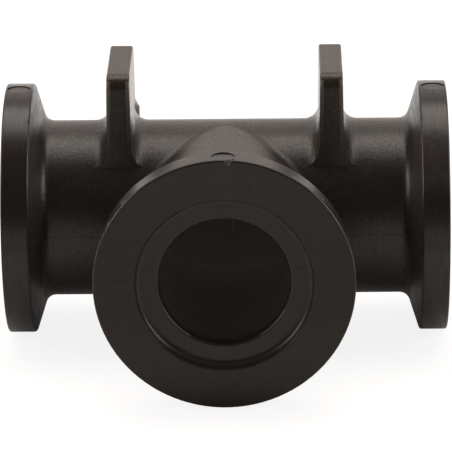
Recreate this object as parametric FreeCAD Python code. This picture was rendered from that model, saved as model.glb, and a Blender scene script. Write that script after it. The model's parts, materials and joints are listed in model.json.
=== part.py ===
import FreeCAD, Part
import math
import os

# Flanged tee, moulded in one piece: a run tube along X with a flange on each end, a branch tube of
# the same size towards -Y with the same flange, and two lugs that stand on the crown of the run.
# Millimetres, +Z up. The origin is where the axes of the run and the branch cross, and the mould
# parts at Z = 0.

V = FreeCAD.Vector

# Driving dimensions: the tubes
BORE_DIAMETER = 25.4
BODY_WALL = 5.1
RUN_LENGTH = 88.9
BRANCH_REACH = 46.7
CROTCH_BLEND = 2.6
BRANCH_SET_DOWN = 0.06

# Driving dimensions: the three equal flanges
FLANGE_DIAMETER = 50.7
RIM_WIDTH = 5.45
RIM_FACE_RADIUS = 0.4
RIM_BACK_RADIUS = 0.6
CLAMP_ANGLE = 18.0
NECK_FILLET = 2.2

# Driving dimensions: the gasket seat in each face
SEAT_DIAMETER = 34.6
SEAT_DEPTH = 2.0
SEAT_CORNER_RADIUS = 1.4
SEAT_EDGE_RADIUS = 0.3
BORE_LIP_RADIUS = 0.7

# Driving dimensions: the lugs on the crown
LUG_SPACING = 42.4
LUG_THICKNESS = 4.6
LUG_DEPTH = 24.6
LUG_HEIGHT = 31.3
LUG_DRAFT = 0.75
LUG_CORNER_RADIUS = 2.9
LUG_EDGE_RADIUS = 0.45
LUG_FOOT_FILLET = 2.9

# Driving dimensions: marks that the mould leaves
EJECTOR_DIAMETER = 4.6
EJECTOR_DEPTH = 0.5
PIP_PROUD = 0.9
PIP_SPREAD = 3.2
PIP_BACK_INSET = 1.9
PIP_ABOVE_CROWN = 1.55
PIP_TOP_FALL = 1.15

BORE_RADIUS = BORE_DIAMETER / 2
BODY_RADIUS = BORE_RADIUS + BODY_WALL
BRANCH_RADIUS = BODY_RADIUS - BRANCH_SET_DOWN
FLANGE_RADIUS = FLANGE_DIAMETER / 2
SEAT_RADIUS = SEAT_DIAMETER / 2
RUN_REACH = RUN_LENGTH / 2
CLAMP_SLOPE = math.tan(math.radians(CLAMP_ANGLE))
LUG_LEAN = math.tan(math.radians(LUG_DRAFT))

# How far a cutter passes a face, and how close a point on an edge lies to its surface
CUT_PAST = 1.0
ON_SURFACE = 1e-3

# Turn about the run's axis that moves a round surface's seam from the crown to the back
SEAM_TO_BACK = -90


def rounded_outline(corners):
    """Closed wire in the XZ plane through (x, z, radius) corners, each rounded by its own radius."""
    edges = []
    starts = []
    ends = []
    for i, (x, z, radius) in enumerate(corners):
        corner = V(x, 0, z)
        following = corners[(i + 1) % len(corners)]
        before = V(corners[i - 1][0], 0, corners[i - 1][1]) - corner
        after = V(following[0], 0, following[1]) - corner
        before.normalize()
        after.normalize()
        half = before.getAngle(after) / 2
        setback = radius / math.tan(half)
        starts.append(corner + before * setback)
        ends.append(corner + after * setback)
        if radius > 0:
            inward = before + after
            inward.normalize()
            middle = corner + inward * (radius / math.sin(half) - radius)
            edges.append(Part.Arc(starts[i], middle, ends[i]).toShape())
    for i, start in enumerate(starts):
        edges.append(Part.LineSegment(ends[i - 1], start).toShape())
    return Part.Wire(Part.__sortEdges__(edges))


def spun(corners):
    """Solid of revolution about the X axis, from an outline of (x, radius, rounding) corners."""
    face = Part.Face(rounded_outline(corners))
    return face.revolve(V(0, 0, 0), V(1, 0, 0), 360)


def towards_branch(shape):
    """The shape that was built along +X, turned to lie along -Y."""
    turned = shape.copy()
    turned.rotate(V(0, 0, 0), V(0, 0, 1), -90)
    return turned


def mirrored(corners):
    """The same corners on the other side of x = 0, in the order that carries the outline on."""
    return [(-x, z, radius) for x, z, radius in reversed(corners)]


def flange_corners(reach, tube_radius):
    """Outer corners from the tube to the face, for a flange whose face stands at reach."""
    back = reach - RIM_WIDTH
    neck = back - (FLANGE_RADIUS - tube_radius) * CLAMP_SLOPE
    return [
        (neck, tube_radius, NECK_FILLET),
        (back, FLANGE_RADIUS, RIM_BACK_RADIUS),
        (reach, FLANGE_RADIUS, RIM_FACE_RADIUS),
    ]


def seat_corners(reach):
    """Corners of the hollow in a face: bore lip, seat floor, seat wall and the face's inner edge."""
    floor = reach - SEAT_DEPTH
    return [
        (floor, BORE_RADIUS, BORE_LIP_RADIUS),
        (floor, SEAT_RADIUS, SEAT_CORNER_RADIUS),
        (reach, SEAT_RADIUS, SEAT_EDGE_RADIUS),
        (reach, SEAT_RADIUS + CUT_PAST, 0),
        (reach + CUT_PAST, SEAT_RADIUS + CUT_PAST, 0),
    ]


def run_body():
    """Run tube with its two flanges, solid inside, turned so that its seam is clear of the lugs."""
    right = flange_corners(RUN_REACH, BODY_RADIUS)
    body = spun([(-RUN_REACH, 0, 0)] + mirrored(right) + right + [(RUN_REACH, 0, 0)])
    body.rotate(V(0, 0, 0), V(1, 0, 0), SEAM_TO_BACK)
    return body


def branch_body():
    """Branch tube with its flange, solid inside."""
    tube = [(0, 0, 0), (0, BRANCH_RADIUS, 0)]
    flange = flange_corners(BRANCH_REACH, BRANCH_RADIUS)
    return towards_branch(spun(tube + flange + [(BRANCH_REACH, 0, 0)]))


def run_hollow():
    """What is open inside the run: the bore from face to face and the seat in each face."""
    right = seat_corners(RUN_REACH)
    end = RUN_REACH + CUT_PAST
    return spun([(-end, 0, 0)] + mirrored(right) + right + [(end, 0, 0)])


def branch_hollow():
    """What is open inside the branch: the bore from the run's axis to the seat in its face."""
    tube = [(0, 0, 0), (0, BORE_RADIUS, 0)]
    seat = seat_corners(BRANCH_REACH)
    return towards_branch(spun(tube + seat + [(BRANCH_REACH + CUT_PAST, 0, 0)]))


def points_on(edge):
    """Three points well inside an edge."""
    span = edge.LastParameter - edge.FirstParameter
    return [edge.valueAt(edge.FirstParameter + share * span) for share in (0.25, 0.5, 0.75)]


def is_on_run(point):
    """Does a point lie on the outside of the run tube?"""
    return abs(math.hypot(point.y, point.z) - BODY_RADIUS) < ON_SURFACE


def is_on_branch(point):
    """Does a point lie on the outside of the branch tube?"""
    return abs(math.hypot(point.x, point.z) - BRANCH_RADIUS) < ON_SURFACE


def tee_body():
    """Run and branch as one solid, with the blend along the crotch where they meet."""
    body = run_body().fuse(branch_body()).removeSplitter()
    crotch = [e for e in body.Edges if all(is_on_run(p) and is_on_branch(p) for p in points_on(e))]
    return body.makeFillet(CROTCH_BLEND, crotch)


def lug_block(wider=0.0, longer=0.0):
    """Drafted block that stands on the run's axis, with the lug's sides and ends moved out as asked."""
    sections = []
    for z in (0, LUG_HEIGHT):
        grow = (LUG_HEIGHT - z) * LUG_LEAN
        x = LUG_THICKNESS / 2 + grow + wider
        y = LUG_DEPTH / 2 + grow + longer
        corners = [V(-x, -y, z), V(x, -y, z), V(x, y, z), V(-x, y, z)]
        sections.append(Part.makePolygon(corners + corners[:1]))
    return Part.makeLoft(sections, True, True)


def is_across(edge):
    """Does an edge run straight across the lug's thickness?"""
    return edge.BoundBox.YLength < ON_SURFACE and edge.BoundBox.ZLength < ON_SURFACE


def lug_blade():
    """The lug above its foot, with round top corners and a small rounding along its outline."""
    blade = lug_block()
    top_ends = [e for e in blade.Edges if is_across(e) and e.BoundBox.ZMin > LUG_HEIGHT / 2]
    blade = blade.makeFillet(LUG_CORNER_RADIUS, top_ends)
    outline = [e for e in blade.Edges if e.BoundBox.ZMax > LUG_HEIGHT / 2 and not is_across(e)]
    return blade.makeFillet(LUG_EDGE_RADIUS, outline)


def around_run(radius):
    """Plain cylinder about the run's axis, longer than a lug with its foot is wide."""
    half = LUG_THICKNESS + 2 * LUG_FOOT_FILLET
    cylinder = Part.makeCylinder(radius, 2 * half, V(-half, 0, 0), V(1, 0, 0))
    cylinder.rotate(V(0, 0, 0), V(1, 0, 0), SEAM_TO_BACK)
    return cylinder


def lug_foot():
    """The fillets between the tube and a lug's two sides, made on a longer lug and cut flush with its ends."""
    joined = around_run(BODY_RADIUS).fuse(lug_block(longer=LUG_FOOT_FILLET))
    sides = []
    for edge in joined.Edges:
        beside = min(abs(p.x) for p in points_on(edge)) > LUG_THICKNESS / 2
        along = edge.BoundBox.XLength < LUG_THICKNESS / 2 and edge.BoundBox.YLength > LUG_DEPTH
        if beside and along and all(is_on_run(p) for p in points_on(edge)):
            sides.append(edge)
    foot = joined.makeFillet(LUG_FOOT_FILLET, sides)
    return foot.common(lug_block(wider=1.5 * LUG_FOOT_FILLET)).common(around_run(BODY_RADIUS + LUG_FOOT_FILLET))


def with_lugs(body):
    """The body with both lugs on its crown."""
    for side in (-1, 1):
        standing = lug_blade().fuse(lug_foot()).removeSplitter()
        standing.translate(V(side * LUG_SPACING / 2, 0, 0))
        body = body.fuse(standing)
    return body.removeSplitter()


def ejector_marks():
    """Cutters for the shallow round marks that the ejector pins leave on top of the flange rims."""
    along_run = RUN_REACH - RIM_WIDTH / 2
    along_branch = BRANCH_REACH - RIM_WIDTH / 2
    floor = FLANGE_RADIUS - EJECTOR_DEPTH
    places = [V(-along_run, 0, floor), V(along_run, 0, floor), V(0, -along_branch, floor)]
    return [Part.makeCylinder(EJECTOR_DIAMETER / 2, CUT_PAST, place) for place in places]


def gate_pip():
    """Torn stub that the gate leaves on the inner side of the left lug: a low ridge with a falling top."""
    top = BODY_RADIUS + PIP_ABOVE_CROWN
    root = BODY_RADIUS - BODY_WALL
    ridge = LUG_DEPTH / 2 - PIP_BACK_INSET
    face = -LUG_SPACING / 2 + LUG_THICKNESS / 2 + (LUG_HEIGHT - top) * LUG_LEAN
    inside = face - LUG_THICKNESS / 2
    near, far = ridge - PIP_SPREAD / 2, ridge + PIP_SPREAD / 2
    plan = [V(inside, near, root), V(face, near, root), V(face + PIP_PROUD, ridge, root)]
    plan += [V(face, far, root), V(inside, far, root)]
    stub = Part.Face(Part.makePolygon(plan + plan[:1])).extrude(V(0, 0, top - root))
    side = [V(inside, near, root), V(face + PIP_PROUD, near, root), V(face + PIP_PROUD, near, top - PIP_TOP_FALL)]
    side += [V(face, near, top), V(inside, near, top)]
    return stub.common(Part.Face(Part.makePolygon(side + side[:1])).extrude(V(0, PIP_SPREAD, 0)))


def flanged_tee():
    """The finished moulding as one solid."""
    body = with_lugs(tee_body()).fuse(gate_pip())
    body = body.cut(run_hollow()).cut(branch_hollow())
    for mark in ejector_marks():
        body = body.cut(mark)
    return body


os.makedirs("parts", exist_ok=True)
tee = flanged_tee()
print("valid", tee.isValid(), "solids", len(tee.Solids), "volume", round(tee.Volume, 1))
tee.Solids[0].exportStep("parts/tee_body.step")
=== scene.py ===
"""Looks of the flanged tee: photo camera, white studio, black moulded plastic and the mould's marks."""
import json
import logging
import math
from collections.abc import Callable
from dataclasses import dataclass
from enum import Enum

import bpy
from mathutils import Matrix, Vector
from mathutils.bvhtree import BVHTree


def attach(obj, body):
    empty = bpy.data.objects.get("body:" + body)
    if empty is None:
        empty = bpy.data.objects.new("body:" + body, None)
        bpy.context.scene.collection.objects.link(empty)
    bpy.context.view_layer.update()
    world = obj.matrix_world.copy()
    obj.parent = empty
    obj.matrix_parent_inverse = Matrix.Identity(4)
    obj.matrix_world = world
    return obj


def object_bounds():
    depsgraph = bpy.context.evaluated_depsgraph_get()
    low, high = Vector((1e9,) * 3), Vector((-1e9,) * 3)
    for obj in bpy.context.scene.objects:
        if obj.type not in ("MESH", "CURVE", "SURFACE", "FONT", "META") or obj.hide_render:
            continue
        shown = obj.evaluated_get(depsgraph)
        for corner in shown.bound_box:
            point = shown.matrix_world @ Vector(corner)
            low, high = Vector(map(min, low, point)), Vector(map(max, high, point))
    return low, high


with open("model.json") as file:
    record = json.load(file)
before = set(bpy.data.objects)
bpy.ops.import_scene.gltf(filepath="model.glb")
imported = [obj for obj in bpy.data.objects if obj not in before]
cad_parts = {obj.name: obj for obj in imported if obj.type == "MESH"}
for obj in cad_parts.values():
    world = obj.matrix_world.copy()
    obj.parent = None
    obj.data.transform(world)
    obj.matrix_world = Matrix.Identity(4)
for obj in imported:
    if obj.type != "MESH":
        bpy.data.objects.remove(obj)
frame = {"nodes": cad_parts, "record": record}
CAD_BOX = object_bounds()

MM = 0.001
BODY = "root"
TEE_NODE = "tee_body"
LOG = logging.getLogger("flanged_tee")

X_AXIS = Vector((1, 0, 0))
Y_AXIS = Vector((0, 1, 0))
Z_AXIS = Vector((0, 0, 1))

Colour = tuple[float, float, float]
Span = tuple[float, float]
Hit = tuple[Vector, Vector]

BLACK: Colour = (0.0, 0.0, 0.0)
WHITE: Colour = (1.0, 1.0, 1.0)


class Wire:
    """A shader node's output, on which arithmetic can be done."""

    def __init__(self, graph: "Graph", socket: bpy.types.NodeSocket) -> None:
        """Keeps the socket with the graph that it belongs to."""
        self.graph = graph
        self.socket = socket

    def __add__(self, other: "Wire | float") -> "Wire":
        """Sum of two values."""
        return self.graph.math("ADD", self, other)

    def __radd__(self, other: float) -> "Wire":
        """Sum with a plain number on the left."""
        return self.graph.math("ADD", other, self)

    def __sub__(self, other: "Wire | float") -> "Wire":
        """Difference of two values."""
        return self.graph.math("SUBTRACT", self, other)

    def __rsub__(self, other: float) -> "Wire":
        """Difference with a plain number on the left."""
        return self.graph.math("SUBTRACT", other, self)

    def __mul__(self, other: "Wire | float") -> "Wire":
        """Product of two values."""
        return self.graph.math("MULTIPLY", self, other)

    def __rmul__(self, other: float) -> "Wire":
        """Product with a plain number on the left."""
        return self.graph.math("MULTIPLY", other, self)

    def __truediv__(self, other: "Wire | float") -> "Wire":
        """Quotient of two values."""
        return self.graph.math("DIVIDE", self, other)

    def __rtruediv__(self, other: float) -> "Wire":
        """Quotient with a plain number on the left."""
        return self.graph.math("DIVIDE", other, self)

    def size(self) -> "Wire":
        """Absolute value."""
        return self.graph.math("ABSOLUTE", self)

    def larger(self, other: "Wire") -> "Wire":
        """Larger of two values, which joins two masks."""
        return self.graph.math("MAXIMUM", self, other)

    def capped(self) -> "Wire":
        """The value, or 1 where it is above 1."""
        return self.graph.math("MINIMUM", self, 1.0)

    def step(self, zero: float, one: float, place: float = 0.0) -> "Wire":
        """Smooth step between two values, rising or falling.

        Args:
            zero: Where the result is 0, counted from place.
            one: Where the result is 1, counted from place.
            place: Value that the other two are counted from.

        Returns:
            A mask from 0 to 1.
        """
        rises = zero < one
        inputs = {
            "Value": self,
            "From Min": place + min(zero, one),
            "From Max": place + max(zero, one),
            "To Min": 0.0 if rises else 1.0,
            "To Max": 1.0 if rises else 0.0,
        }
        return self.graph.node("ShaderNodeMapRange", {"interpolation_type": "SMOOTHSTEP"}, inputs)


class Graph:
    """Builds the nodes of one material or world.

    The colour sockets of a Mix node go by number, because its sockets for numbers have the same names.
    """

    MIX_FIRST = 6
    MIX_SECOND = 7
    MIX_RESULT = 2

    def __init__(self, tree: bpy.types.NodeTree) -> None:
        """Starts from an empty tree."""
        self.tree = tree
        tree.nodes.clear()

    def add(self, kind: str, settings: dict | None, inputs: dict | None) -> bpy.types.Node:
        """Adds one node.

        Args:
            kind: The node's type name.
            settings: Properties of the node by name.
            inputs: Values or wires by the input's name or number.

        Returns:
            The node.
        """
        made = self.tree.nodes.new(kind)
        for name, value in (settings or {}).items():
            setattr(made, name, value)
        for name, value in (inputs or {}).items():
            if isinstance(value, Wire):
                self.tree.links.new(value.socket, made.inputs[name])
            else:
                made.inputs[name].default_value = value
        return made

    def node(
        self, kind: str, settings: dict | None = None, inputs: dict | None = None, output: str | int = 0
    ) -> Wire:
        """Adds one node and gives one of its outputs, by name or number."""
        return Wire(self, self.add(kind, settings, inputs).outputs[output])

    def close(self, kind: str, shader: Wire) -> None:
        """Links a shader to the tree's output node."""
        self.add(kind, None, {0: shader})

    def math(self, operation: str, *values: Wire | float) -> Wire:
        """One Math node."""
        return self.node("ShaderNodeMath", {"operation": operation}, dict(enumerate(values)))

    def distance(self, first: Wire, second: Wire) -> Wire:
        """Distance of a point from the middle, from its two coordinates."""
        return self.math("SQRT", first * first + second * second)

    def position(self) -> Wire:
        """Place on the surface, in the object's own coordinates."""
        return self.node("ShaderNodeTexCoord", output="Object")

    def part(self, vector: Wire, axis: str) -> Wire:
        """One component of a vector."""
        return self.node("ShaderNodeSeparateXYZ", inputs={0: vector}, output=axis)

    def paint(self, base: Colour, layers: tuple[tuple[Wire, Colour], ...]) -> Wire:
        """Lays colours over one another.

        Args:
            base: The colour at the bottom.
            layers: Mask and colour of each layer, from the bottom up.

        Returns:
            The colour that shows.
        """
        shown = (*base, 1.0)
        for mask, colour in layers:
            inputs = {0: mask, self.MIX_FIRST: shown, self.MIX_SECOND: (*colour, 1.0)}
            shown = self.node("ShaderNodeMix", {"data_type": "RGBA"}, inputs, self.MIX_RESULT)
        return shown

    def glow(self, kind: str, colour: Colour, strength: float) -> Wire:
        """Emission or Background shader."""
        return self.node(kind, inputs={"Color": (*colour, 1.0), "Strength": strength})

    def choose(self, share: Wire, first: Wire, second: Wire) -> Wire:
        """Shader that goes from the first to the second with a share."""
        return self.node("ShaderNodeMixShader", inputs={0: share, 1: first, 2: second})

    def bump(self, height: Wire, depth: float) -> Wire:
        """Normal that follows a height from 0 to 1, depth metres deep."""
        return self.node("ShaderNodeBump", inputs={"Height": height, "Distance": depth, "Strength": 1.0})


@dataclass(frozen=True)
class Noise:
    """Noise whose grains have about the given size; it runs from 0 to 1 over its span, if it has one."""

    grain: float
    detail: float = 2.0
    span: Span | None = None

    def build(self, graph: Graph, where: Wire) -> Wire:
        """Adds the noise to a graph.

        Args:
            graph: Graph of the material.
            where: Place that the noise is read at, in the unit of its grain.

        Returns:
            The noise from 0 to 1.
        """
        inputs = {"Vector": where, "Scale": 1.0 / self.grain, "Detail": self.detail}
        noise = graph.node("ShaderNodeTexNoise", inputs=inputs)
        return noise.step(*self.span) if self.span else noise


def new_material(name: str) -> tuple[bpy.types.Material, Graph]:
    """Makes a material.

    Args:
        name: Its name.

    Returns:
        The material and its empty graph.
    """
    material = bpy.data.materials.new(name)
    material.use_nodes = True
    return material, Graph(material.node_tree)


def new_object(name: str, data: bpy.types.ID) -> bpy.types.Object:
    """Makes an object and links it to the scene.

    Args:
        name: Its name.
        data: Its mesh, light or camera.

    Returns:
        The object.
    """
    made = bpy.data.objects.new(name, data)
    bpy.context.scene.collection.objects.link(made)
    return made


def new_mesh(name: str, points: list, faces: list) -> bpy.types.Mesh:
    """Makes a mesh.

    Args:
        name: Its name.
        points: Its points in metres.
        faces: The numbers of each face's points.

    Returns:
        The mesh.
    """
    mesh = bpy.data.meshes.new(name)
    mesh.from_pydata(points, [], faces)
    return mesh


def dress(piece: bpy.types.Object, finish: bpy.types.Material) -> None:
    """Gives a piece of the moulding its finish, body and material slot.

    Args:
        piece: The piece.
        finish: The material that it shows.
    """
    piece.data.materials.clear()
    piece.data.materials.append(finish)
    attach(piece, BODY)


def spread(start: float, end: float, count: int) -> list[float]:
    """Values at even steps from start to end, both included."""
    return [start + (end - start) * i / count for i in range(count + 1)]


@dataclass(frozen=True)
class PhotoCamera:
    """The photograph's camera, fitted to the part's outlines; radians and metres where no unit is named."""

    azimuth: float = 0.01583
    elevation: float = 0.33440
    roll: float = -0.01323
    distance: float = 0.74805
    focal_pixels: float = 3667.29
    shift_right_pixels: float = 1.05
    shift_down_pixels: float = -20.08
    picture_pixels: float = 452.0
    sensor_millimetres: float = 36.0
    nearest: float = 0.01
    farthest: float = 20.0

    def build(self) -> bpy.types.Object:
        """Makes the camera and gives it to the scene.

        Returns:
            The camera.
        """
        flat = math.cos(self.elevation)
        aside = math.sin(self.azimuth) * flat
        back = Vector((aside, -math.cos(self.azimuth) * flat, math.sin(self.elevation)))
        right = Z_AXIS.cross(back).normalized()
        up = back.cross(right)
        level = math.cos(self.roll)
        tilt = math.sin(self.roll)
        axes = Matrix((level * right + tilt * up, level * up - tilt * right, back)).transposed()
        data = bpy.data.cameras.new("photo_camera")
        data.sensor_width = self.sensor_millimetres
        data.lens = self.focal_pixels / self.picture_pixels * self.sensor_millimetres
        data.shift_x = -self.shift_right_pixels / self.picture_pixels
        data.shift_y = self.shift_down_pixels / self.picture_pixels
        data.clip_start = self.nearest
        data.clip_end = self.farthest
        camera = new_object("photo_camera", data)
        camera.matrix_world = Matrix.Translation(back * self.distance) @ axes.to_4x4()
        bpy.context.scene.camera = camera
        return camera


@dataclass(frozen=True)
class Softbox:
    """Rectangular soft light that faces the part.

    Its azimuth is measured from behind the part towards +X, in degrees like its elevation. WATTS are the
    watts per square metre that give an area light a radiance of 1.
    """

    name: str
    azimuth: float
    elevation: float
    width: float
    height: float
    radiance: float
    distance: float = 2.0
    tint: Colour = (1.10, 1.0, 0.935)
    WATTS = 4.0

    def build(self) -> bpy.types.Object:
        """Makes the light; its power follows from its radiance and size.

        Returns:
            The light.
        """
        azimuth = math.radians(self.azimuth)
        elevation = math.radians(self.elevation)
        flat = math.cos(elevation)
        out = Vector((math.sin(azimuth) * flat, math.cos(azimuth) * flat, math.sin(elevation)))
        data = bpy.data.lights.new(self.name, "AREA")
        data.shape = "RECTANGLE"
        data.size = self.width
        data.size_y = self.height
        data.energy = self.WATTS * self.radiance * self.width * self.height
        data.color = self.tint
        light = new_object(self.name, data)
        light.location = out * self.distance
        light.rotation_mode = "QUATERNION"
        light.rotation_quaternion = (-out).to_track_quat("-Z", "Y")
        light.visible_camera = False
        return light


@dataclass(frozen=True)
class TableFinish:
    """White table that the camera sees almost white, with the part's soft shadow kept.

    It has a darker strip in front of the part and, in mirrored light only, a bright sweep behind the part.
    The spans lie along the table's depth, in metres.
    """

    colour: Colour = (0.740, 0.740, 0.740)
    strip_colour: Colour = (0.515, 0.515, 0.515)
    strip_front: Span = (-0.200, -0.150)
    strip_back: Span = (-0.065, -0.095)
    glow: float = 0.86
    shadow_share: float = 0.36
    sweep: Span = (-0.03, 0.18)
    sweep_glow: float = 0.9

    def build(self) -> bpy.types.Material:
        """Makes the material.

        Returns:
            The material, which differs for the camera, for mirrored light and for all other light.
        """
        material, graph = new_material("white_table")
        depth = graph.part(graph.position(), "Y")
        strip = depth.step(*self.strip_front) * depth.step(*self.strip_back)
        colour = graph.paint(self.colour, ((strip, self.strip_colour),))
        lit = graph.node("ShaderNodeBsdfDiffuse", inputs={"Color": colour})
        sweep = graph.glow("ShaderNodeEmission", WHITE, self.sweep_glow)
        mirrored = graph.node("ShaderNodeAddShader", inputs={0: lit, 1: sweep})
        by_mirror = graph.node("ShaderNodeLightPath", output="Is Glossy Ray") * depth.step(*self.sweep)
        unseen = graph.choose(by_mirror, lit, mirrored)
        glow = graph.glow("ShaderNodeEmission", WHITE, self.glow)
        dimmed = graph.node("ShaderNodeMixShader", inputs={0: self.shadow_share, 2: lit})
        seen = graph.node("ShaderNodeAddShader", inputs={0: glow, 1: dimmed})
        by_camera = graph.node("ShaderNodeLightPath", output="Is Camera Ray")
        graph.close("ShaderNodeOutputMaterial", graph.choose(by_camera, unseen, seen))
        return material


@dataclass(frozen=True)
class Studio:
    """White table and surroundings with a softbox on each side, two overhead and two low ones behind."""

    table_width: float = 8.0
    table: TableFinish = TableFinish()
    room: Colour = (0.100, 0.090, 0.082)
    boxes: tuple[Softbox, ...] = (
        Softbox("left_softbox", azimuth=-90, elevation=21, width=1.30, height=0.95, radiance=3.15),
        Softbox("right_softbox", azimuth=90, elevation=21, width=1.30, height=0.95, radiance=3.12),
        Softbox("overhead_softbox", azimuth=0, elevation=78, width=3.6, height=0.70, radiance=1.78),
        Softbox("overhead_softbox_back", azimuth=0, elevation=62.5, width=3.6, height=0.42, radiance=2.15),
        Softbox("back_softbox", azimuth=0, elevation=31, width=2.6, height=1.0, radiance=0.51),
        Softbox("back_softbox_low", azimuth=0, elevation=8, width=2.6, height=0.55, radiance=0.56),
    )

    def build(self, stands_at: float) -> None:
        """Makes the table, the surroundings and the lights.

        Args:
            stands_at: Height at which the part stands.
        """
        self.build_table(stands_at)
        self.build_surroundings()
        for box in self.boxes:
            box.build()

    def build_table(self, stands_at: float) -> None:
        """Makes the table.

        Args:
            stands_at: Height of its top.
        """
        half = self.table_width / 2
        outline = ((-half, -half), (half, -half), (half, half), (-half, half))
        corners = [(x, y, stands_at) for x, y in outline]
        floor = new_object("floor", new_mesh("floor", corners, [(0, 1, 2, 3)]))
        floor.data.materials.append(self.table.build())

    def build_surroundings(self) -> None:
        """Makes the world, which the camera sees white and which lights the part faintly all round."""
        world = bpy.data.worlds.new("studio_room")
        world.use_nodes = True
        bpy.context.scene.world = world
        graph = Graph(world.node_tree)
        room = graph.glow("ShaderNodeBackground", self.room, 1.0)
        seen = graph.glow("ShaderNodeBackground", WHITE, 1.0)
        by_camera = graph.node("ShaderNodeLightPath", output="Is Camera Ray")
        graph.close("ShaderNodeOutputWorld", graph.choose(by_camera, room, seen))


class Port(Enum):
    """The three ends of the tee, by the name that the record's mounts start with."""

    LEFT = "left"
    RIGHT = "right"
    BRANCH = "branch"


class Tee:
    """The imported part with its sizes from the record, and rays that find its surface.

    FAR lies outside the part, the tube is plain at PLAIN_TUBE along the run, and only the lugs reach up to
    LUG_LEVELS.
    """

    FAR = 80 * MM
    PLAIN_TUBE = 30 * MM
    LUG_LEVELS = (26 * MM, 30 * MM)

    def __init__(self) -> None:
        """Reads the part's mesh and mounts, and measures its tube and lugs."""
        self.node = frame["nodes"][TEE_NODE]
        self.mounts = {mount["name"]: mount for mount in frame["record"]["mounts"]}
        mesh = self.node.data
        points = [vertex.co.copy() for vertex in mesh.vertices]
        self.tree = BVHTree.FromPolygons(points, [tuple(face.vertices) for face in mesh.polygons])
        self.tube_radius = -self.hit(Vector((self.PLAIN_TUBE, 0, -self.FAR)), Z_AXIS)[0].z
        self.lug_faces = (self.lug_face(outer=True), self.lug_face(outer=False))
        level = self.LUG_LEVELS[0]
        middle = sum(place + lean * level for place, lean in self.lug_faces) / len(self.lug_faces)
        self.lug_end = -self.hit(Vector((middle, -self.FAR, level)), Y_AXIS)[0].y

    def hit(self, start: Vector, towards: Vector) -> Hit | None:
        """Finds where a ray meets the part.

        Args:
            start: Where the ray starts.
            towards: Its direction.

        Returns:
            Point and normal of the surface, or None.
        """
        point, normal, _, _ = self.tree.ray_cast(start, towards)
        return None if point is None else (point, normal)

    def lug_face(self, outer: bool) -> tuple[float, float]:
        """Measures a side of the right lug.

        Args:
            outer: True for the side towards the flange.

        Returns:
            Its distance from the middle at level 0, and its lean with height.
        """
        start = self.FAR if outer else 0.0
        towards = -X_AXIS if outer else X_AXIS
        low, high = (self.hit(Vector((start, 0, level)), towards)[0].x for level in self.LUG_LEVELS)
        lean = (high - low) / (self.LUG_LEVELS[1] - self.LUG_LEVELS[0])
        return low - lean * self.LUG_LEVELS[0], lean

    def reach(self, port: Port) -> float:
        """Distance from the origin to a port's face."""
        return Vector(self.mounts[f"{port.value}_face"]["pos_m"]).length

    def rim_width(self, port: Port) -> float:
        """Width of a port's rim; the rim's mount lies halfway along it."""
        return 2 * (self.reach(port) - Vector(self.mounts[f"{port.value}_rim"]["pos_m"]).length)

    def radius(self, mount: str) -> float:
        """Radius of a round mount, in metres."""
        return self.mounts[mount]["dims"]["r_mm"] * MM


@dataclass(frozen=True)
class Axis:
    """Measures on the surface round the axis of the run or of the branch, in metres."""

    along: Wire
    outward: Wire
    radius: Wire
    aside: Wire


@dataclass(frozen=True)
class FlangeMasks:
    """Masks of a flange with its seat, of the slope behind its rim, and of its turned outside."""

    whole: Wire
    slope: Wire
    turned: Wire


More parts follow.
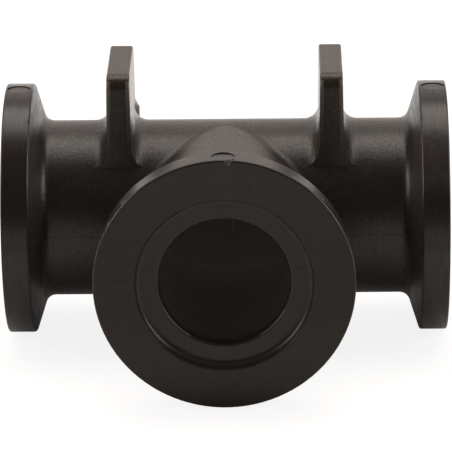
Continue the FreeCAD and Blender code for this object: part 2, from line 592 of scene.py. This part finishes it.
class Zones:
    """Masks of the places on the tee that look different.

    Each pair says where a mask is 0 and where it is 1, in metres. It is counted from the tube's radius or
    crown, from a mount's radius, from a port's face or the back of its rim, or from the origin, as the
    method that uses it says.
    """

    NECK = (0.2 * MM, 1.4 * MM)
    FLANGE_BACK = (-3.2 * MM, -2.2 * MM)
    FLANGE_FRONT = (-2.8 * MM, -2.4 * MM)
    SLOPE_FRONT = (0.1 * MM, -0.1 * MM)
    TURNED_FRONT = (-0.1 * MM, -0.5 * MM)
    TURNED_INSIDE = (19 * MM, 20 * MM)
    FACE = (-0.3 * MM, -0.1 * MM)

    # Where the right rim's front is painted paler: painted light, brighter than on the left rim
    RIGHT_RIM_LIGHT_BACK = (39.0 * MM, 39.4 * MM)
    RIGHT_RIM_LIGHT_LOW = (8.5 * MM, 13.5 * MM)
    RIGHT_RIM_LIGHT_HIGH = (23 * MM, 20 * MM)
    RIGHT_RIM_LIGHT_SIDE = (0.0, -4.0 * MM)

    SEAT_FLOOR = (-1.2 * MM, -1.8 * MM)
    SEAT_BELOW = (-6.0 * MM, -5.0 * MM)
    SEAT_RADIUS = (0.0, -0.5 * MM)
    WALL_TOP = (-0.02 * MM, -0.25 * MM)
    WALL_FOOT = (-1.9 * MM, -1.6 * MM)
    WALL_INSIDE = (-1.3 * MM, -0.6 * MM)
    WALL_OUTSIDE = (0.25 * MM, 0.05 * MM)

    BORE_WALL = (0.4 * MM, 0.1 * MM)
    BORE_MOUTH = (-2.0 * MM, -7.0 * MM)

    LUG_SIDE = (1.0 * MM, 0.55 * MM)
    LUG_END_INSIDE = (-0.9 * MM, -0.6 * MM)
    LUG_END_OUTSIDE = (1.2 * MM, 0.9 * MM)
    LUG_HEIGHT = (-5.0 * MM, 14.5 * MM)

    STUB_ACROSS = -18.2 * MM
    STUB_DEPTH = 10.4 * MM
    STUB_SIDES = (0.75 * MM, 0.6 * MM)
    STUB_ENDS = (1.75 * MM, 1.55 * MM)
    STUB_FOOT = (0.3 * MM, 0.6 * MM)
    STUB_TOP = (2.0 * MM, 1.8 * MM)

    MARK_RADIUS = 2.3 * MM
    MARK_EDGE = (0.15 * MM, 0.0)
    MARK_TOP = (-0.10 * MM, -0.25 * MM)
    MARK_BOTTOM = (-2.0 * MM, -1.5 * MM)

    def __init__(self, graph: Graph, tee: Tee) -> None:
        """Measures the surface across, in depth, up, and round the two axes.

        Args:
            graph: Graph of the material.
            tee: The part.
        """
        self.graph = graph
        self.tee = tee
        self.where = graph.position()
        self.across = graph.part(self.where, "X")
        self.depth = graph.part(self.where, "Y")
        self.up = graph.part(self.where, "Z")
        from_run = graph.distance(self.depth, self.up)
        from_branch = graph.distance(self.across, self.up)
        self.axes = {
            Port.RIGHT: Axis(self.across, self.across.size(), from_run, self.depth),
            Port.BRANCH: Axis(self.depth, self.depth * -1.0, from_branch, self.across),
        }

    def noise(self, noise: Noise) -> Wire:
        """Noise over the surface."""
        return noise.build(self.graph, self.where)

    def on_both(self, mask: Callable[[Port], Wire]) -> Wire:
        """Joins a mask's two forms, for both ends of the run and for the branch."""
        return mask(Port.RIGHT).larger(mask(Port.BRANCH))

    def flange(self, port: Port) -> FlangeMasks:
        """Masks of a flange, from the axis, the tube's radius, the back of the rim and the face.

        Args:
            port: The right port, which stands for both ends of the run, or the branch.

        Returns:
            The flange's masks.
        """
        axis = self.axes[port]
        face = self.tee.reach(port)
        rim_back = face - self.tee.rim_width(port)
        outside = axis.radius.step(*self.NECK, self.tee.tube_radius)
        rim = outside * axis.outward.step(*self.FLANGE_BACK, rim_back)
        whole = rim.larger(axis.outward.step(*self.FLANGE_FRONT, face))
        slope = rim * axis.outward.step(*self.SLOPE_FRONT, rim_back)
        behind_face = axis.outward.step(*self.TURNED_FRONT, face)
        turned = whole * behind_face * axis.radius.step(*self.TURNED_INSIDE)
        return FlangeMasks(whole, slope, turned)

    def face(self) -> Wire:
        """Mask of the branch's face."""
        return self.axes[Port.BRANCH].outward.step(*self.FACE, self.tee.reach(Port.BRANCH))

    def right_rim_painted_light(self) -> Wire:
        """Mask of the height and front side of the right rim that is painted paler, as painted light, from
        the origin.
        """
        height = self.up.step(*self.RIGHT_RIM_LIGHT_LOW) * self.up.step(*self.RIGHT_RIM_LIGHT_HIGH)
        return self.across.step(*self.RIGHT_RIM_LIGHT_BACK) * self.depth.step(*self.RIGHT_RIM_LIGHT_SIDE) * height

    def seat(self) -> Wire:
        """Mask of the floor of the branch's seat, from its face and its seat's radius.

        Returns:
            The mask.
        """
        axis = self.axes[Port.BRANCH]
        face = self.tee.reach(Port.BRANCH)
        level = axis.outward.step(*self.SEAT_FLOOR, face) * axis.outward.step(*self.SEAT_BELOW, face)
        return level * axis.radius.step(*self.SEAT_RADIUS, self.tee.radius("branch_seat"))

    def seat_wall(self) -> Wire:
        """Mask of the wall of the branch's seat, from its face and its seat's radius.

        Returns:
            The mask.
        """
        axis = self.axes[Port.BRANCH]
        face = self.tee.reach(Port.BRANCH)
        seat = self.tee.radius("branch_seat")
        level = axis.outward.step(*self.WALL_TOP, face) * axis.outward.step(*self.WALL_FOOT, face)
        ring = axis.radius.step(*self.WALL_INSIDE, seat) * axis.radius.step(*self.WALL_OUTSIDE, seat)
        return level * ring

    def bore(self, port: Port) -> Wire:
        """Mask of a bore's wall, from its radius; it fades towards the port's face.

        Args:
            port: The right port or the branch.

        Returns:
            The mask.
        """
        axis = self.axes[port]
        wall = axis.radius.step(*self.BORE_WALL, self.tee.radius("branch_bore"))
        return wall * axis.outward.step(*self.BORE_MOUTH, self.tee.reach(port))

    def painted_lug_edge_highlights(self) -> Wire:
        """Mask of a painted highlight on the rounded edges at the lugs' two ends, stronger towards their
        tops.

        Returns:
            The mask, from the lugs' sides and ends and from the crown of the tube.
        """
        near_outer, near_inner = (self.beside_plane(*plane) for plane in self.tee.lug_faces)
        from_end = self.depth.size() - self.tee.lug_end
        at_end = from_end.step(*self.LUG_END_INSIDE) * from_end.step(*self.LUG_END_OUTSIDE)
        height = self.up.step(*self.LUG_HEIGHT, self.tee.tube_radius)
        return near_outer.larger(near_inner) * at_end * height

    def beside_plane(self, place: float, lean: float) -> Wire:
        """Mask of a narrow band next to a slightly leaning side of both lugs."""
        return (self.across.size() - (self.up * lean + place)).size().step(*self.LUG_SIDE)

    def gate_stub(self) -> Wire:
        """Mask of the gate's torn stub on the inner side of the left lug.

        Returns:
            The mask, from the stub's middle and from the crown of the tube.
        """
        crown = self.tee.tube_radius
        sides = (self.across - self.STUB_ACROSS).size().step(*self.STUB_SIDES)
        ends = (self.depth - self.STUB_DEPTH).size().step(*self.STUB_ENDS)
        return sides * ends * self.up.step(*self.STUB_FOOT, crown) * self.up.step(*self.STUB_TOP, crown)

    def ejector_mark(self, port: Port) -> Wire:
        """Mask of the round mark on top of a rim, from the middle of the rim and its radius.

        Args:
            port: The right port, which stands for both ends of the run, or the branch.

        Returns:
            The mask.
        """
        axis = self.axes[port]
        rim = self.tee.radius(f"{port.value}_rim")
        from_middle = axis.outward - (self.tee.reach(port) - self.tee.rim_width(port) / 2)
        away = self.graph.distance(from_middle, axis.aside)
        sunk = self.up.step(*self.MARK_TOP, rim) * self.up.step(*self.MARK_BOTTOM, rim)
        return away.step(*self.MARK_EDGE, self.MARK_RADIUS) * sunk


@dataclass(frozen=True)
class Stroke:
    """Straight mark on the branch's face, in millimetres across and up, as the camera sees the face.

    FADE_IN and FADE_OUT say where it begins and ends, as shares of its length from its start, and CORE is
    the share of its width that shows in full.
    """

    start: Span
    end: Span
    width: float
    strength: float
    FADE_IN = (-0.1, 0.25)
    FADE_OUT = (1.1, 0.75)
    CORE = 0.3

    def mask(self, zones: Zones) -> Wire:
        """Mask of the mark.

        Args:
            zones: Measures of the surface.

        Returns:
            The mark's strength on it, and 0 away from it.
        """
        start_x, start_z = (value * MM for value in self.start)
        end_x, end_z = (value * MM for value in self.end)
        run_x = end_x - start_x
        run_z = end_z - start_z
        length = math.hypot(run_x, run_z)
        from_x = zones.across - start_x
        from_z = zones.up - start_z
        along = (from_x * (run_x / length) + from_z * (run_z / length)) / length
        aside = (from_x * (run_z / length) - from_z * (run_x / length)).size()
        ends = along.step(*self.FADE_IN) * along.step(*self.FADE_OUT)
        return aside.step(self.width * MM, self.CORE * self.width * MM) * ends * self.strength


@dataclass(frozen=True)
class PlasticFinish:
    """Black glass-filled plastic: sandblasted tubes, smoother flanges with turned lines, light scuffs.

    Heights are shares of the relief: the patches, the turned lines, and what is left of the grain on the
    smooth flanges. The noise of the turned lines is counted in lines; the grains of all others are lengths.
    """

    name: str = "black_moulded_plastic"

    colour: Colour = (0.0186, 0.0122, 0.0066)
    pale: Colour = (0.0256, 0.0182, 0.0115)
    rim: Colour = (0.0172, 0.0124, 0.0100)
    # paler patches on the right rim's front: painted light
    right_rim_painted_light: Colour = (0.0400, 0.0340, 0.0300)
    # paler slopes behind the rims: painted reflected light from the tube
    slope: Colour = (0.0360, 0.0292, 0.0240)
    # pale colour on the lugs' rounded edges: a painted highlight
    lug_edge_highlight: Colour = (0.140, 0.125, 0.111)
    # paler seat floor: painted light that lifts the shade in the recess
    seat: Colour = (0.0300, 0.0218, 0.0145)
    flow_line: Colour = (0.0060, 0.0045, 0.0030)
    scuffed: Colour = (0.060, 0.054, 0.048)
    torn: Colour = (0.150, 0.140, 0.128)

    # emitted colours: a painted glow that lifts the dark in the bores, ejector marks and seat wall
    bore_painted_glow: Colour = (0.0080, 0.0072, 0.0066)
    ejector_painted_glow: Colour = (0.003, 0.003, 0.003)
    seat_wall_painted_glow: Colour = (0.0050, 0.0044, 0.0039)

    roughness: float = 0.35
    roughness_drift: float = 0.035
    slope_roughness: float = 0.10
    flange_roughness: float = -0.06
    relief: float = 0.045 * MM
    smooth_share: float = 0.08
    patch_share: float = 0.8
    glint_coat: float = 0.50
    right_rim_light_patches: float = 0.5

    line_spacing: float = 0.24 * MM
    line_length: float = 4.0 * MM
    line_share: float = 0.5
    line_coat: float = 0.30
    line_span: Span = (0.36, 0.66)

    grain: Noise = Noise(0.36 * MM, 3.0)
    patches: Noise = Noise(1.1 * MM)
    glints: Noise = Noise(0.34 * MM, span=(0.38, 0.66))
    drift: Noise = Noise(7.0 * MM, 3.0)
    mottle: Noise = Noise(1.6 * MM, 4.0, (0.42, 0.80))
    right_rim_light_noise: Noise = Noise(1.3 * MM, 3.0, (0.35, 0.62))
    flow_noise: Noise = Noise(0.45 * MM, span=(0.44, 0.56))
    line_noise: Noise = Noise(1.0)

    scuffs: tuple[Stroke, ...] = (
        Stroke((-25.0, 0.0), (-17.7, -0.1), 0.11, 0.55),
        Stroke((5.2, 21.8), (6.3, 18.4), 0.10, 0.5),
        Stroke((16.8, -10.3), (18.3, -12.3), 0.10, 0.45),
        Stroke((-8.5, 20.4), (-7.6, 19.6), 0.09, 0.3),
        Stroke((9.1, -19.0), (10.9, -20.2), 0.09, 0.3),
    )
    flow: tuple[Stroke, ...] = (
        Stroke((-15.7, 2.9), (-13.1, 2.5), 0.55, 1.0),
        Stroke((13.3, 2.5), (16.2, 3.0), 0.60, 1.0),
        Stroke((13.6, 4.4), (14.6, 4.8), 0.35, 0.7),
    )
    tears: tuple[Stroke, ...] = (
        Stroke((1.05, 25.6), (1.20, 24.3), 0.34, 1.0),
        Stroke((0.55, 25.5), (0.45, 24.8), 0.26, 0.9),
        Stroke((1.75, 25.4), (1.60, 24.9), 0.22, 0.7),
    )

    def build(self, tee: Tee) -> bpy.types.Material:
        """Makes the material; its zones follow the part's flanges, seats, bores and lugs.

        Args:
            tee: The part.

        Returns:
            The material.
        """
        material, graph = new_material(self.name)
        zones = Zones(graph, tee)
        run = zones.flange(Port.RIGHT)
        branch = zones.flange(Port.BRANCH)
        smooth = run.whole.larger(branch.whole)
        slope = run.slope.larger(branch.slope)
        run_lines = self.turned_lines(zones, Port.RIGHT) * run.turned
        lines = run_lines.larger(self.turned_lines(zones, Port.BRANCH) * branch.turned)
        grain = zones.noise(self.grain) + zones.noise(self.patches) * self.patch_share
        height = grain * (1.0 - smooth * (1.0 - self.smooth_share)) + lines * self.line_share
        glints = zones.noise(self.glints) * (1.0 - smooth) * self.glint_coat
        drift = zones.noise(self.drift) * (2.0 * self.roughness_drift) - self.roughness_drift
        zone_roughness = slope * self.slope_roughness + (smooth - slope) * self.flange_roughness
        inputs = {
            "Base Color": self.shade(zones, run, branch),
            "Roughness": drift + zone_roughness + self.roughness,
            "Coat Weight": glints + lines.step(*self.line_span) * self.line_coat,
            "Coat Roughness": self.roughness,
            "Normal": graph.bump(height, self.relief),
            "Emission Color": self.painted_glow(zones),
            "Emission Strength": 1.0,
        }
        graph.close("ShaderNodeOutputMaterial", graph.node("ShaderNodeBsdfPrincipled", inputs=inputs))
        return material

    def turned_lines(self, zones: Zones, port: Port) -> Wire:
        """Fine lines that run round an axis, as the mould's inserts leave them.

        Args:
            zones: Measures of the surface.
            port: The right port or the branch.

        Returns:
            The lines as a height from 0 to 1.
        """
        axis = zones.axes[port]
        angle = zones.graph.math("ARCTAN2", zones.up, axis.aside)
        turned = angle * (zones.tee.tube_radius / self.line_length)
        inputs = {"X": axis.along / self.line_spacing, "Y": turned}
        place = zones.graph.node("ShaderNodeCombineXYZ", inputs=inputs)
        return self.line_noise.build(zones.graph, place)

    def shade(self, zones: Zones, run: FlangeMasks, branch: FlangeMasks) -> Wire:
        """Colour of the plastic with its paler and darker zones and marks; the paler slopes, seat floor,
        lug edges and right rim front are painted light.

        Args:
            zones: Measures and masks of the surface.
            run: Masks of the run's flanges.
            branch: Masks of the branch's flange.

        Returns:
            The colour.
        """
        patchy = zones.noise(self.right_rim_light_noise) * self.right_rim_light_patches + (1.0 - self.right_rim_light_patches)
        flow = zones.noise(self.flow_noise) * self.drawn(zones, self.flow)
        seat = zones.seat()
        face = zones.face()
        layers = (
            (zones.noise(self.mottle), self.pale),
            (run.turned.larger(branch.turned), self.rim),
            (run.turned * zones.right_rim_painted_light() * patchy, self.right_rim_painted_light),
            (run.slope.larger(branch.slope), self.slope),
            (zones.painted_lug_edge_highlights(), self.lug_edge_highlight),
            (seat, self.seat),
            (seat * flow, self.flow_line),
            (zones.gate_stub(), self.torn),
            (face * self.drawn(zones, self.scuffs), self.scuffed),
            (face * self.drawn(zones, self.tears), self.torn),
        )
        return zones.graph.paint(self.colour, layers)

    def drawn(self, zones: Zones, strokes: tuple[Stroke, ...]) -> Wire:
        """Mask of several straight marks."""
        return sum(stroke.mask(zones) for stroke in strokes).capped()

    def painted_glow(self, zones: Zones) -> Wire:
        """Faint painted glow that the plastic emits in its bores, on the seat's wall and in the ejector
        marks, lifting the dark there.

        Args:
            zones: Masks of the surface.

        Returns:
            The emitted colour.
        """
        layers = (
            (zones.on_both(zones.bore), self.bore_painted_glow),
            (zones.on_both(zones.ejector_mark), self.ejector_painted_glow),
            (zones.seat_wall(), self.seat_wall_painted_glow),
        )
        return zones.graph.paint(BLACK, layers)


@dataclass(frozen=True)
class PaleFinish:
    """Pale plastic, for marks where it was trimmed or torn and for thin edge lines whose paleness is a
    painted highlight.
    """

    name: str
    colour: Colour
    pale: Colour
    roughness: float = 0.45
    patches: Noise = Noise(0.7 * MM, span=(0.35, 0.7))

    def build(self) -> bpy.types.Material:
        """Makes the material.

        Returns:
            The material.
        """
        material, graph = new_material(self.name)
        shade = graph.paint(self.colour, ((self.patches.build(graph, graph.position()), self.pale),))
        inputs = {"Base Color": shade, "Roughness": self.roughness}
        graph.close("ShaderNodeOutputMaterial", graph.node("ShaderNodeBsdfPrincipled", inputs=inputs))
        return material


@dataclass(frozen=True)
class Ridge:
    """Thin raised line that follows the part's surface.

    SHOULDER is how far out its shoulders lie, as a share of its width, and how high, as one of its height.
    """

    width: float = 0.20 * MM
    height: float = 0.036 * MM
    sink: float = 0.03 * MM
    SHOULDER = (0.25, 0.75)

    def profile(self) -> tuple[Span, ...]:
        """Outline across the line.

        Returns:
            Points as a share of the width sideways and metres up.
        """
        out, share = self.SHOULDER
        high = share * self.height
        return (-0.5, -self.sink), (-out, high), (0.0, self.height), (out, high), (0.5, -self.sink)

    def build(self, name: str, trail: list[Hit], finish: bpy.types.Material) -> bpy.types.Object:
        """Makes the line.

        Args:
            name: Its name.
            trail: Points and normals of the surface along it.
            finish: Its material.

        Returns:
            The line.
        """
        profile = self.profile()
        points = []
        for i, (place, normal) in enumerate(trail):
            before = trail[max(i - 1, 0)][0]
            after = trail[min(i + 1, len(trail) - 1)][0]
            side = normal.cross(after - before).normalized()
            points += [place + side * (aside * self.width) + normal * lift for aside, lift in profile]
        faces = []
        count = len(profile)
        for i in range(len(trail) - 1):
            for j in range(count - 1):
                corner = i * count + j
                faces.append((corner, corner + 1, corner + count + 1, corner + count))
        ridge = new_object(name, new_mesh(name, points, faces))
        ridge.data.shade_smooth()
        dress(ridge, finish)
        return ridge


@dataclass(frozen=True)
class EjectorFloor:
    """Floor of the shallow round mark that an ejector pin left on top of a port's rim.

    The disc's upper edge is broken by its corner, and its foot is sunk in the part by as much.
    """

    port: Port
    radius: float = 2.27 * MM
    below_rim: float = 0.24 * MM
    corner: float = 0.03 * MM
    sides: int = 64

    def build(self, tee: Tee, finish: bpy.types.Material) -> bpy.types.Object:
        """Makes a flat disc that fills the mark up to its floor.

        Args:
            tee: The part.
            finish: The disc's material.

        Returns:
            The disc.
        """
        middle = Vector(tee.mounts[f"{self.port.value}_rim"]["pos_m"])
        top = tee.radius(f"{self.port.value}_rim") - self.below_rim
        base = tee.hit(middle + Z_AXIS * Tee.FAR, -Z_AXIS)[0].z - self.corner
        rings = ((self.radius, base), (self.radius, top - self.corner), (self.radius - self.corner, top))
        points = []
        for radius, height in rings:
            for i in range(self.sides):
                angle = 2 * math.pi * i / self.sides
                x = middle.x + radius * math.cos(angle)
                y = middle.y + radius * math.sin(angle)
                points.append((x, y, height))
        faces = []
        for ring in range(len(rings) - 1):
            low = ring * self.sides
            high = low + self.sides
            for i in range(self.sides):
                after = (i + 1) % self.sides
                faces.append((low + i, low + after, high + after, high + i))
        faces.append(tuple(range(self.sides))[::-1])
        faces.append(tuple(range(len(points) - self.sides, len(points))))
        name = f"ejector_floor_{self.port.value}"
        disc = new_object(name, new_mesh(name, points, faces))
        dress(disc, finish)
        return disc


class Edge(Enum):
    """Round edges in the branch's face: the mount, and how far outside its radius a line runs."""

    BORE_LIP = ("branch_bore", 0.20 * MM)
    SEAT_RIM = ("branch_seat", 0.10 * MM)


@dataclass(frozen=True)
class EdgeLine:
    """Thin pale line on a round edge of the branch, whose paleness paints a highlight on the edge; angles
    in degrees from +X towards +Z.
    """

    name: str
    edge: Edge
    start: float
    end: float
    shape: Ridge
    DEGREES_A_STEP = 1.5
    FEWEST_STEPS = 8

    def build(self, tee: Tee, finish: bpy.types.Material) -> bpy.types.Object:
        """Makes the line along the rounded edge.

        Args:
            tee: The part.
            finish: The line's material.

        Returns:
            The line.
        """
        mount, outside = self.edge.value
        radius = tee.radius(mount) + outside
        count = max(round(abs(self.end - self.start) / self.DEGREES_A_STEP), self.FEWEST_STEPS)
        hits = []
        for degrees in spread(self.start, self.end, count):
            angle = math.radians(degrees)
            start = Vector((radius * math.cos(angle), -Tee.FAR, radius * math.sin(angle)))
            hits.append(tee.hit(start, Y_AXIS))
        return self.shape.build(self.name, hits, finish)


@dataclass(frozen=True)
class CoreLine:
    """Witness line of the mould's core on the far wall of the run's bore; angles in degrees downwards."""

    name: str = "core_line"
    across: float = 1.05 * MM
    start: float = 30.0
    end: float = 45.0
    steps: int = 16
    shape: Ridge = Ridge(width=0.26 * MM, height=0.04 * MM, sink=0.03 * MM)

    def build(self, tee: Tee, finish: bpy.types.Material) -> bpy.types.Object:
        """Makes the line on the wall that rays from the run's axis find.

        Args:
            tee: The part.
            finish: The line's material.

        Returns:
            The line.
        """
        angles = [math.radians(degrees) for degrees in spread(self.start, self.end, self.steps)]
        start = Vector((self.across, 0, 0))
        hits = [tee.hit(start, Vector((0, math.cos(angle), -math.sin(angle)))) for angle in angles]
        return self.shape.build(self.name, hits, finish)


@dataclass(frozen=True)
class PartingLine:
    """The thin flash where the two mould halves met, at the height of the bores' axes."""

    spacing: float = 0.25 * MM
    corner: float = 18.6 * MM
    outside: float = 30 * MM
    level: float = -0.2 * MM
    from_face: float = 0.7 * MM
    from_slope: float = 0.4 * MM
    shape: Ridge = Ridge()

    def build(self, tee: Tee, finish: bpy.types.Material) -> list[bpy.types.Object]:
        """Makes the flash along both sides of the run and of the branch.

        Args:
            tee: The part.
            finish: The flash's material.

        Returns:
            The five stretches of flash.
        """
        run_span = (self.corner, tee.reach(Port.RIGHT) - self.from_face)
        branch_span = (self.corner, tee.reach(Port.BRANCH) - self.from_face)
        back_end = tee.reach(Port.RIGHT) - tee.rim_width(Port.RIGHT) - self.from_slope
        front = Vector((0, -self.outside, self.level))
        back = Vector((0, Tee.FAR, self.level))
        made = []
        for side, word in ((-1, "left"), (1, "right")):
            out = side * X_AXIS
            beside = Vector((side * self.outside, 0, self.level))
            run = self.trail(tee, front, out, run_span, Y_AXIS)
            branch = self.trail(tee, beside, -Y_AXIS, branch_span, -out)
            made.append(self.shape.build(f"flash_run_{word}", run, finish))
            made.append(self.shape.build(f"flash_branch_{word}", branch, finish))
        behind = self.trail(tee, back, X_AXIS, (-back_end, back_end), -Y_AXIS)
        made.append(self.shape.build("flash_run_back", behind, finish))
        return made

    def trail(self, tee: Tee, base: Vector, along: Vector, span: Span, towards: Vector) -> list[Hit]:
        """Finds the surface by rays that start at even steps on a straight line.

        Args:
            tee: The part.
            base: Point that the line goes through.
            along: Direction of the line.
            span: First and last distance along the line, from its base.
            towards: Direction of the rays.

        Returns:
            Points and normals of the rays that meet the part.
        """
        count = round((span[1] - span[0]) / self.spacing)
        hits = (tee.hit(base + along * place, towards) for place in spread(*span, count))
        return [hit for hit in hits if hit is not None]


@dataclass(frozen=True)
class Nib:
    """Speck of torn plastic on the branch's rim; the angle is measured from +X towards +Z, in degrees."""

    name: str
    angle: float
    from_face: float
    length: float
    width: float
    height: float

    def build(self, tee: Tee, finish: bpy.types.Material) -> bpy.types.Object:
        """Makes a small flattened lump, half sunk in the rim, from a ball of unit width.

        Args:
            tee: The part.
            finish: The speck's material.

        Returns:
            The speck.
        """
        angle = math.radians(self.angle)
        out = Vector((math.cos(angle), 0, math.sin(angle)))
        depth = -tee.reach(Port.BRANCH) + self.from_face
        place, _ = tee.hit(out * Tee.FAR + Vector((0, depth, 0)), -out)
        bpy.ops.mesh.primitive_ico_sphere_add(subdivisions=2, radius=0.5)
        nib = bpy.context.object
        nib.name = self.name
        size = Matrix.Diagonal((self.width, self.length, 2 * self.height, 1.0))
        turn = out.to_track_quat("Z", "Y").to_matrix().to_4x4()
        nib.data.transform(Matrix.Translation(place) @ turn @ size)
        nib.data.shade_smooth()
        dress(nib, finish)
        return nib


TORN = PaleFinish("torn_plastic", (0.10, 0.09, 0.08), (0.15, 0.14, 0.13))
# pale trimmed burr on the bore's lip; its paleness also paints the glint that the lip shows
TRIMMED_WITH_HIGHLIGHT = PaleFinish("trimmed_edge_painted_highlight", (0.13, 0.12, 0.11), (0.19, 0.18, 0.17), roughness=0.2)
# pale hairlines on the seat's rounded rim: a painted highlight
SEAT_EDGE_HIGHLIGHT = PaleFinish("seat_edge_painted_highlight", (0.034, 0.028, 0.023), (0.050, 0.044, 0.038))

BURR = Ridge(width=0.34 * MM, height=0.08 * MM, sink=0.05 * MM)
HAIRLINE = Ridge(width=0.17 * MM, height=0.02 * MM, sink=0.02 * MM)

LIP_MARKS = (
    EdgeLine("lip_burr_left", Edge.BORE_LIP, 205.0, 238.0, BURR),
    EdgeLine("lip_burr_right", Edge.BORE_LIP, 302.0, 334.0, BURR),
)
EDGE_MARKS = (
    EdgeLine("seat_edge_top", Edge.SEAT_RIM, 42.0, 138.0, HAIRLINE),
    EdgeLine("seat_edge_left", Edge.SEAT_RIM, 146.0, 212.0, HAIRLINE),
    EdgeLine("seat_edge_low", Edge.SEAT_RIM, 221.0, 316.0, HAIRLINE),
    EdgeLine("seat_edge_right", Edge.SEAT_RIM, -36.0, 34.0, HAIRLINE),
)
NIBS = (
    Nib("gate_nick", 87.3, from_face=0.50 * MM, length=0.8 * MM, width=0.7 * MM, height=0.24 * MM),
    Nib("gate_fleck", 85.6, from_face=0.9 * MM, length=0.6 * MM, width=0.45 * MM, height=0.20 * MM),
    Nib("nib_left_high", 139.0, from_face=0.9 * MM, length=1.1 * MM, width=0.75 * MM, height=0.36 * MM),
    Nib("nib_left_low", 150.3, from_face=0.6 * MM, length=0.7 * MM, width=0.5 * MM, height=0.26 * MM),
    Nib("nib_right", 42.0, from_face=0.8 * MM, length=0.9 * MM, width=0.6 * MM, height=0.30 * MM),
)


def report(piece: bpy.types.Object) -> None:
    """Logs a piece's name and number of faces."""
    LOG.info("%s: %d faces", piece.name, len(piece.data.polygons))


def main() -> None:
    logging.basicConfig(level=logging.INFO, format="%(message)s")
    bpy.context.scene.view_settings.view_transform = "Standard"
    tee = Tee()
    PhotoCamera().build()
    Studio().build(CAD_BOX[0].z)
    finish = PlasticFinish().build(tee)
    tee.node.material_slots[0].material = finish
    report(tee.node)
    for piece in PartingLine().build(tee, finish):
        report(piece)
    groups = (
        (tuple(EjectorFloor(port) for port in Port), finish),
        ((CoreLine(), *NIBS), TORN.build()),
        (LIP_MARKS, TRIMMED_WITH_HIGHLIGHT.build()),
        (EDGE_MARKS, SEAT_EDGE_HIGHLIGHT.build()),
    )
    for marks, shown in groups:
        for mark in marks:
            report(mark.build(tee, shown))


if __name__ == "__main__":
    main()
